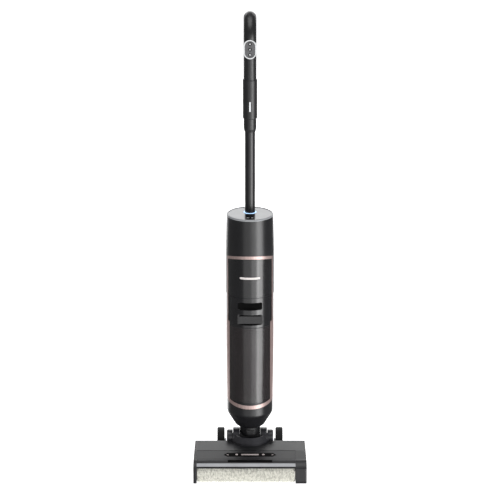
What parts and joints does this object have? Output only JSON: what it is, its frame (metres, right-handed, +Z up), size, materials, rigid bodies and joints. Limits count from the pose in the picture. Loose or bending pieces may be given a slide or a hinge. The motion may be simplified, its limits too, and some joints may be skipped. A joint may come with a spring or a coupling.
{
  "type": "wet dry floor scrubber",
  "caption": "Upright cordless wet dry floor scrubber with a bent handle, a round body with a clear dirty tank, a reclining neck and a wide roller head on two rear wheels.",
  "frame": {"origin": "on the floor under the centre of the machine's bounding box", "axes": "+X to the right seen from the front, +Y to the rear, +Z up"},
  "size_m": [0.2798, 0.225, 1.15],
  "materials": {
    "housing_black": "satin",
    "panel_black": "gloss",
    "head_grey": "satin",
    "wheel_black": "gloss",
    "tyre_rubber": "matte",
    "seal_rubber": "matte",
    "roller_pile": "pile",
    "core_plastic": "satin",
    "window_clear": "gloss",
    "tank_smoke": "gloss",
    "rose_trim": "metallic satin",
    "bright_ring": "polished",
    "disc_grey": "satin",
    "grip_black": "soft touch",
    "steel": "plain",
    "inner_plastic": "moulded",
    "battery_wrap": "moulded",
    "filter_paper": "pleated",
    "board_green": "solder mask",
    "float_white": "moulded"
  },
  "bodies": {
    "head": {"head_base": "head_grey", "head_deck": "head_grey", "left_side_cap": "head_grey", "drive_cap": "head_grey", "roller_scraper": "inner_plastic", "floor_squeegee": "seal_rubber", "roller_bearing": "steel", "drive_motor": "steel", "drive_belt": "seal_rubber", "hinge_saddle": "head_grey", "wheel_axles": "steel", "recline_pins": "steel", "head_screws": "steel"},
    "cover": {"brush_cover": "head_grey", "cover_window": "window_clear", "cover_lip": "seal_rubber", "cover_badge": "head_grey"},
    "roller": {"roller_core": "core_plastic", "roller_pile": "roller_pile"},
    "roller_drive": {"drive_pulley": "steel"},
    "wheel_left": {"tyre_left": "tyre_rubber", "wheel_hub_left": "wheel_black"},
    "wheel_right": {"tyre_right": "tyre_rubber", "wheel_hub_right": "wheel_black"},
    "neck": {"neck_housing": "housing_black", "swivel_ring": "steel"},
    "body": {"base_cone": "housing_black", "body_frame": "housing_black", "suction_pipe": "inner_plastic", "water_pump": "inner_plastic", "motor_housing": "housing_black", "front_panel": "panel_black", "exhaust_grille": "housing_black", "trim_frame": "rose_trim", "suction_motor": "steel", "battery_pack": "battery_wrap", "control_board": "board_green", "display_disc": "disc_grey", "display_window": "panel_black", "wand_socket": "inner_plastic"},
    "dirty_tank": {"dirty_tank_shell": "tank_smoke", "inlet_pipe": "inner_plastic", "tank_lid": "panel_black", "filter_cartridge": "filter_paper"},
    "float": {"tank_float": "float_white"},
    "latch": {"tank_latch": "panel_black"},
    "clean_tank": {"clean_tank_shell": "tank_smoke", "clean_tank_cap": "inner_plastic"},
    "fan": {"suction_fan": "inner_plastic"},
    "handle": {"wand_tube": "housing_black", "grip_sleeve": "grip_black", "grip_left_shell": "grip_black", "grip_right_shell": "grip_black", "grip_end_cap": "grip_black", "control_bezel": "bright_ring", "control_pad": "housing_black"},
    "power_key": {"power_button": "grip_black"},
    "mode_key": {"mode_button": "grip_black"},
    "dispense_key": {"dispense_button": "grip_black"},
    "release_key": {"handle_release": "grip_black"}
  },
  "joints": [
    {"name": "recline", "type": "hinge", "parent": "head", "child": "neck", "pos_m": [0, 0.0315, 0.0715], "axis": [-1, 0, 0], "range_deg": [0, 75]},
    {"name": "swivel", "type": "hinge", "parent": "neck", "child": "body", "pos_m": [0, 0.0315, 0.104], "axis": [0, 0, 1], "range_deg": [-40, 40]},
    {"name": "roller_spin", "type": "hinge", "parent": "head", "child": "roller", "pos_m": [0, -0.0855, 0.027], "axis": [1, 0, 0], "continuous": true},
    {"name": "drive_spin", "type": "hinge", "parent": "head", "child": "roller_drive", "pos_m": [0, -0.022, 0.029], "axis": [1, 0, 0], "continuous": true},
    {"name": "wheel_left_spin", "type": "hinge", "parent": "head", "child": "wheel_left", "pos_m": [-0.0735, 0.0745, 0.038], "axis": [1, 0, 0], "continuous": true},
    {"name": "wheel_right_spin", "type": "hinge", "parent": "head", "child": "wheel_right", "pos_m": [0.0735, 0.0745, 0.038], "axis": [1, 0, 0], "continuous": true},
    {"name": "cover_lift", "type": "slide", "parent": "head", "child": "cover", "axis": [0, 0, 1], "range_m": [0, 0.06]},
    {"name": "dirty_tank_slide", "type": "slide", "parent": "body", "child": "dirty_tank", "axis": [0, -1, 0], "range_m": [0, 0.08]},
    {"name": "clean_tank_slide", "type": "slide", "parent": "body", "child": "clean_tank", "axis": [0, 1, 0], "range_m": [0, 0.06]},
    {"name": "float_rise", "type": "slide", "parent": "dirty_tank", "child": "float", "axis": [0, 0, 1], "range_m": [0, 0.035]},
    {"name": "latch_press", "type": "slide", "parent": "dirty_tank", "child": "latch", "axis": [0, 1, 0], "range_m": [0, 0.003], "stiffness_N_per_m": 900, "springref_m": -0.001},
    {"name": "fan_spin", "type": "hinge", "parent": "body", "child": "fan", "pos_m": [0, 0.0315, 0.52], "axis": [0, 0, 1], "continuous": true},
    {"name": "handle_lift", "type": "slide", "parent": "body", "child": "handle", "axis": [0, 0, 1], "range_m": [0, 0.06]},
    {"name": "power_press", "type": "slide", "parent": "handle", "child": "power_key", "axis": [0, 1, 0], "range_m": [0, 0.0008], "stiffness_N_per_m": 900, "springref_m": -0.0005},
    {"name": "mode_press", "type": "slide", "parent": "handle", "child": "mode_key", "axis": [0, 1, 0], "range_m": [0, 0.0008], "stiffness_N_per_m": 900, "springref_m": -0.0005},
    {"name": "dispense_press", "type": "slide", "parent": "handle", "child": "dispense_key", "axis": [0, 1, 0], "range_m": [0, 0.0008], "stiffness_N_per_m": 900, "springref_m": -0.0005},
    {"name": "release_press", "type": "slide", "parent": "body", "child": "release_key", "axis": [0, -1, 0], "range_m": [0, 0.002], "stiffness_N_per_m": 900, "springref_m": -0.0005}
  ],
  "couplings": [
    {"joint": "drive_spin", "follows": "roller_spin", "ratio": 1}
  ]
}
